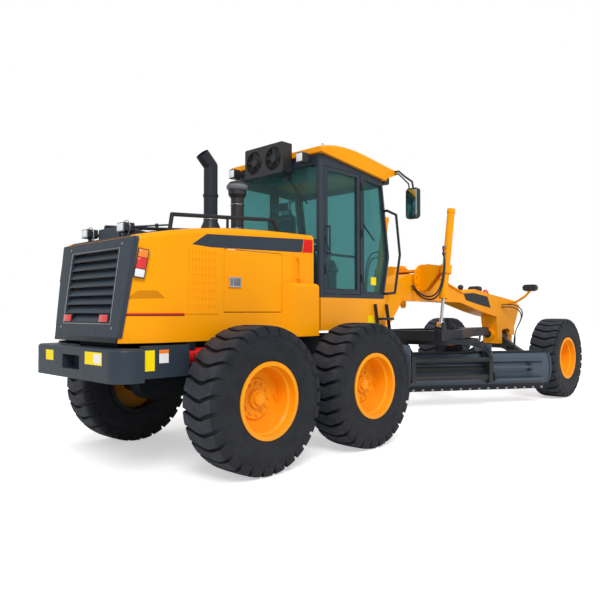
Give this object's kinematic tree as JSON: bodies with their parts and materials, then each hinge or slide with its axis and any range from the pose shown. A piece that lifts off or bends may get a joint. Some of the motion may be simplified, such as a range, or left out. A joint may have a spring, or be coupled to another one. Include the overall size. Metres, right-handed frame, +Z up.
{
  "type": "motor grader",
  "caption": "Articulated motor grader with tandem rear wheels, an enclosed cab and a turning blade under its long front frame.",
  "frame": {"origin": "on the ground under the middle of the machine's length and width", "axes": "+X forward along the machine, +Y to its left, +Z up"},
  "size_m": [8.893, 2.6956, 3.412],
  "materials": {
    "body_paint": "gloss",
    "dark_paint": "satin",
    "black_paint": "satin",
    "frame_paint": "satin",
    "tyre_rubber": "matte",
    "rim_paint": "gloss",
    "window_glass": "clear",
    "polished_rod": "polished",
    "cast_metal": "rough",
    "seat_cover": "woven",
    "black_plastic": "matte"
  },
  "bodies": {
    "rear": {"rear_frame": "frame_paint", "counterweight": "dark_paint", "engine": "cast_metal", "hood_shell": "body_paint", "grille": "dark_paint", "radiator": "cast_metal", "hood_vents": "body_paint", "hood_cover": "dark_paint", "exhaust": "black_paint", "pre_cleaner": "black_plastic", "handrails": "black_paint", "rear_lamps": "black_plastic", "cab_lamps": "black_plastic", "side_tanks": "body_paint", "cab_frame": "dark_paint", "cab_glass": "window_glass", "cab_roof": "body_paint", "condenser": "black_plastic", "cab_base": "body_paint", "seat": "seat_cover", "mirrors": "black_plastic", "ladders": "black_paint"},
    "front": {"front_frame": "body_paint", "saddle": "body_paint", "headlamps": "black_plastic"},
    "drawbar": {"drawbar": "black_paint"},
    "circle": {"circle": "black_paint"},
    "blade_carrier": {"blade_carrier": "black_paint"},
    "blade": {"moldboard": "dark_paint"},
    "front_axle": {"front_axle": "black_paint"},
    "wheel_rear_left": {"tyre_rear_left": "tyre_rubber", "rim_rear_left": "rim_paint"},
    "wheel_mid_left": {"tyre_mid_left": "tyre_rubber", "rim_mid_left": "rim_paint"},
    "wheel_front_left": {"tyre_front_left": "tyre_rubber", "rim_front_left": "rim_paint"},
    "service_door_left": {"service_door_left": "body_paint"},
    "cab_door_left": {"cab_door_left": "dark_paint", "cab_door_glass_left": "window_glass"},
    "tandem_left": {"tandem_case_left": "frame_paint"},
    "lift_barrel_left": {"lift_barrel_left": "body_paint"},
    "lift_rod_left": {"lift_rod_left": "polished_rod"},
    "lean_left": {"lean_yoke_left": "black_paint"},
    "knuckle_left": {"knuckle_left": "black_paint"},
    "wheel_rear_right": {"tyre_rear_right": "tyre_rubber", "rim_rear_right": "rim_paint"},
    "wheel_mid_right": {"tyre_mid_right": "tyre_rubber", "rim_mid_right": "rim_paint"},
    "wheel_front_right": {"tyre_front_right": "tyre_rubber", "rim_front_right": "rim_paint"},
    "service_door_right": {"service_door_right": "body_paint"},
    "cab_door_right": {"cab_door_right": "dark_paint", "cab_door_glass_right": "window_glass"},
    "tandem_right": {"tandem_case_right": "frame_paint"},
    "lift_barrel_right": {"lift_barrel_right": "body_paint"},
    "lift_rod_right": {"lift_rod_right": "polished_rod"},
    "lean_right": {"lean_yoke_right": "black_paint"},
    "knuckle_right": {"knuckle_right": "black_paint"}
  },
  "joints": [
    {"name": "articulation", "type": "hinge", "parent": "rear", "child": "front", "pos_m": [-0.8965, 0, 0.995], "axis": [0, 0, 1], "range_deg": [-27, 27]},
    {"name": "drawbar_lift", "type": "hinge", "parent": "front", "child": "drawbar", "pos_m": [3.4035, 0, 1.06], "axis": [0, 1, 0], "range_deg": [-19, 6.5]},
    {"name": "circle_turn", "type": "hinge", "parent": "drawbar", "child": "circle", "pos_m": [1.5535, 0, 1], "axis": [0, 0, 1], "continuous": true},
    {"name": "blade_tip", "type": "hinge", "parent": "circle", "child": "blade_carrier", "pos_m": [1.20493, -0.53675, 0.48], "axis": [-0.8387, 0.5446, 0], "range_deg": [-5, 40]},
    {"name": "blade_shift", "type": "slide", "parent": "blade_carrier", "child": "blade", "axis": [0.8387, -0.5446, 0], "range_m": [-0.5, 0.5]},
    {"name": "axle_rock", "type": "hinge", "parent": "front", "child": "front_axle", "pos_m": [3.7725, 0, 1], "axis": [1, 0, 0], "range_deg": [-15, 15]},
    {"name": "service_door_left_swing", "type": "hinge", "parent": "rear", "child": "service_door_left", "pos_m": [-2.5605, 0.74, 1.76], "axis": [0, 0, -1], "range_deg": [0, 90]},
    {"name": "cab_door_left_swing", "type": "hinge", "parent": "rear", "child": "cab_door_left", "pos_m": [-1.2765, 0.73, 2.38], "axis": [0, 0, -1], "range_deg": [0, 90]},
    {"name": "tandem_rock_left", "type": "hinge", "parent": "rear", "child": "tandem_left", "pos_m": [-2.4465, 0.56, 0.674], "axis": [0, 1, 0], "range_deg": [-15, 15]},
    {"name": "lift_swing_left", "type": "hinge", "parent": "front", "child": "lift_barrel_left", "pos_m": [0.95076, 0.6, 2.087], "axis": [0, 1, 0], "range_deg": [-9, 4]},
    {"name": "lift_slide_left", "type": "slide", "parent": "lift_barrel_left", "child": "lift_rod_left", "axis": [0.1774, 0, 0.9841], "range_m": [-0.88, 0.32]},
    {"name": "wheel_lean_left", "type": "hinge", "parent": "front_axle", "child": "lean_left", "pos_m": [3.7725, 0.6, 0.65], "axis": [1, 0, 0], "range_deg": [-17, 17]},
    {"name": "steer_left", "type": "hinge", "parent": "lean_left", "child": "knuckle_left", "pos_m": [3.7725, 0.75, 0.655], "axis": [0, 0, 1], "range_deg": [-45, 45]},
    {"name": "wheel_rear_left_spin", "type": "hinge", "parent": "tandem_left", "child": "wheel_rear_left", "pos_m": [-3.2155, 1.092, 0.674], "axis": [0, 1, 0], "continuous": true},
    {"name": "wheel_mid_left_spin", "type": "hinge", "parent": "tandem_left", "child": "wheel_mid_left", "pos_m": [-1.6775, 1.092, 0.674], "axis": [0, 1, 0], "continuous": true},
    {"name": "wheel_front_left_spin", "type": "hinge", "parent": "knuckle_left", "child": "wheel_front_left", "pos_m": [3.7725, 1.092, 0.674], "axis": [0, 1, 0], "continuous": true},
    {"name": "service_door_right_swing", "type": "hinge", "parent": "rear", "child": "service_door_right", "pos_m": [-2.5605, -0.74, 1.76], "axis": [0, 0, 1], "range_deg": [0, 90]},
    {"name": "cab_door_right_swing", "type": "hinge", "parent": "rear", "child": "cab_door_right", "pos_m": [-1.2765, -0.73, 2.38], "axis": [0, 0, 1], "range_deg": [0, 90]},
    {"name": "tandem_rock_right", "type": "hinge", "parent": "rear", "child": "tandem_right", "pos_m": [-2.4465, -0.56, 0.674], "axis": [0, 1, 0], "range_deg": [-15, 15]},
    {"name": "lift_swing_right", "type": "hinge", "parent": "front", "child": "lift_barrel_right", "pos_m": [0.95076, -0.6, 2.087], "axis": [0, 1, 0], "range_deg": [-9, 4]},
    {"name": "lift_slide_right", "type": "slide", "parent": "lift_barrel_right", "child": "lift_rod_right", "axis": [0.1774, 0, 0.9841], "range_m": [-0.88, 0.32]},
    {"name": "wheel_lean_right", "type": "hinge", "parent": "front_axle", "child": "lean_right", "pos_m": [3.7725, -0.6, 0.65], "axis": [1, 0, 0], "range_deg": [-17, 17]},
    {"name": "steer_right", "type": "hinge", "parent": "lean_right", "child": "knuckle_right", "pos_m": [3.7725, -0.75, 0.655], "axis": [0, 0, 1], "range_deg": [-45, 45]},
    {"name": "wheel_rear_right_spin", "type": "hinge", "parent": "tandem_right", "child": "wheel_rear_right", "pos_m": [-3.2155, -1.092, 0.674], "axis": [0, 1, 0], "continuous": true},
    {"name": "wheel_mid_right_spin", "type": "hinge", "parent": "tandem_right", "child": "wheel_mid_right", "pos_m": [-1.6775, -1.092, 0.674], "axis": [0, 1, 0], "continuous": true},
    {"name": "wheel_front_right_spin", "type": "hinge", "parent": "knuckle_right", "child": "wheel_front_right", "pos_m": [3.7725, -1.092, 0.674], "axis": [0, 1, 0], "continuous": true}
  ],
  "couplings": [
    {"joint": "lift_swing_left", "follows": "drawbar_lift", "ratio": 0.404},
    {"joint": "lift_swing_right", "follows": "drawbar_lift", "ratio": 0.404},
    {"joint": "lift_slide_left", "follows": "drawbar_lift", "m_per_rad": 2.56},
    {"joint": "lift_slide_right", "follows": "drawbar_lift", "m_per_rad": 2.56},
    {"joint": "wheel_lean_right", "follows": "wheel_lean_left", "ratio": 1},
    {"joint": "steer_right", "follows": "steer_left", "ratio": 1}
  ]
}
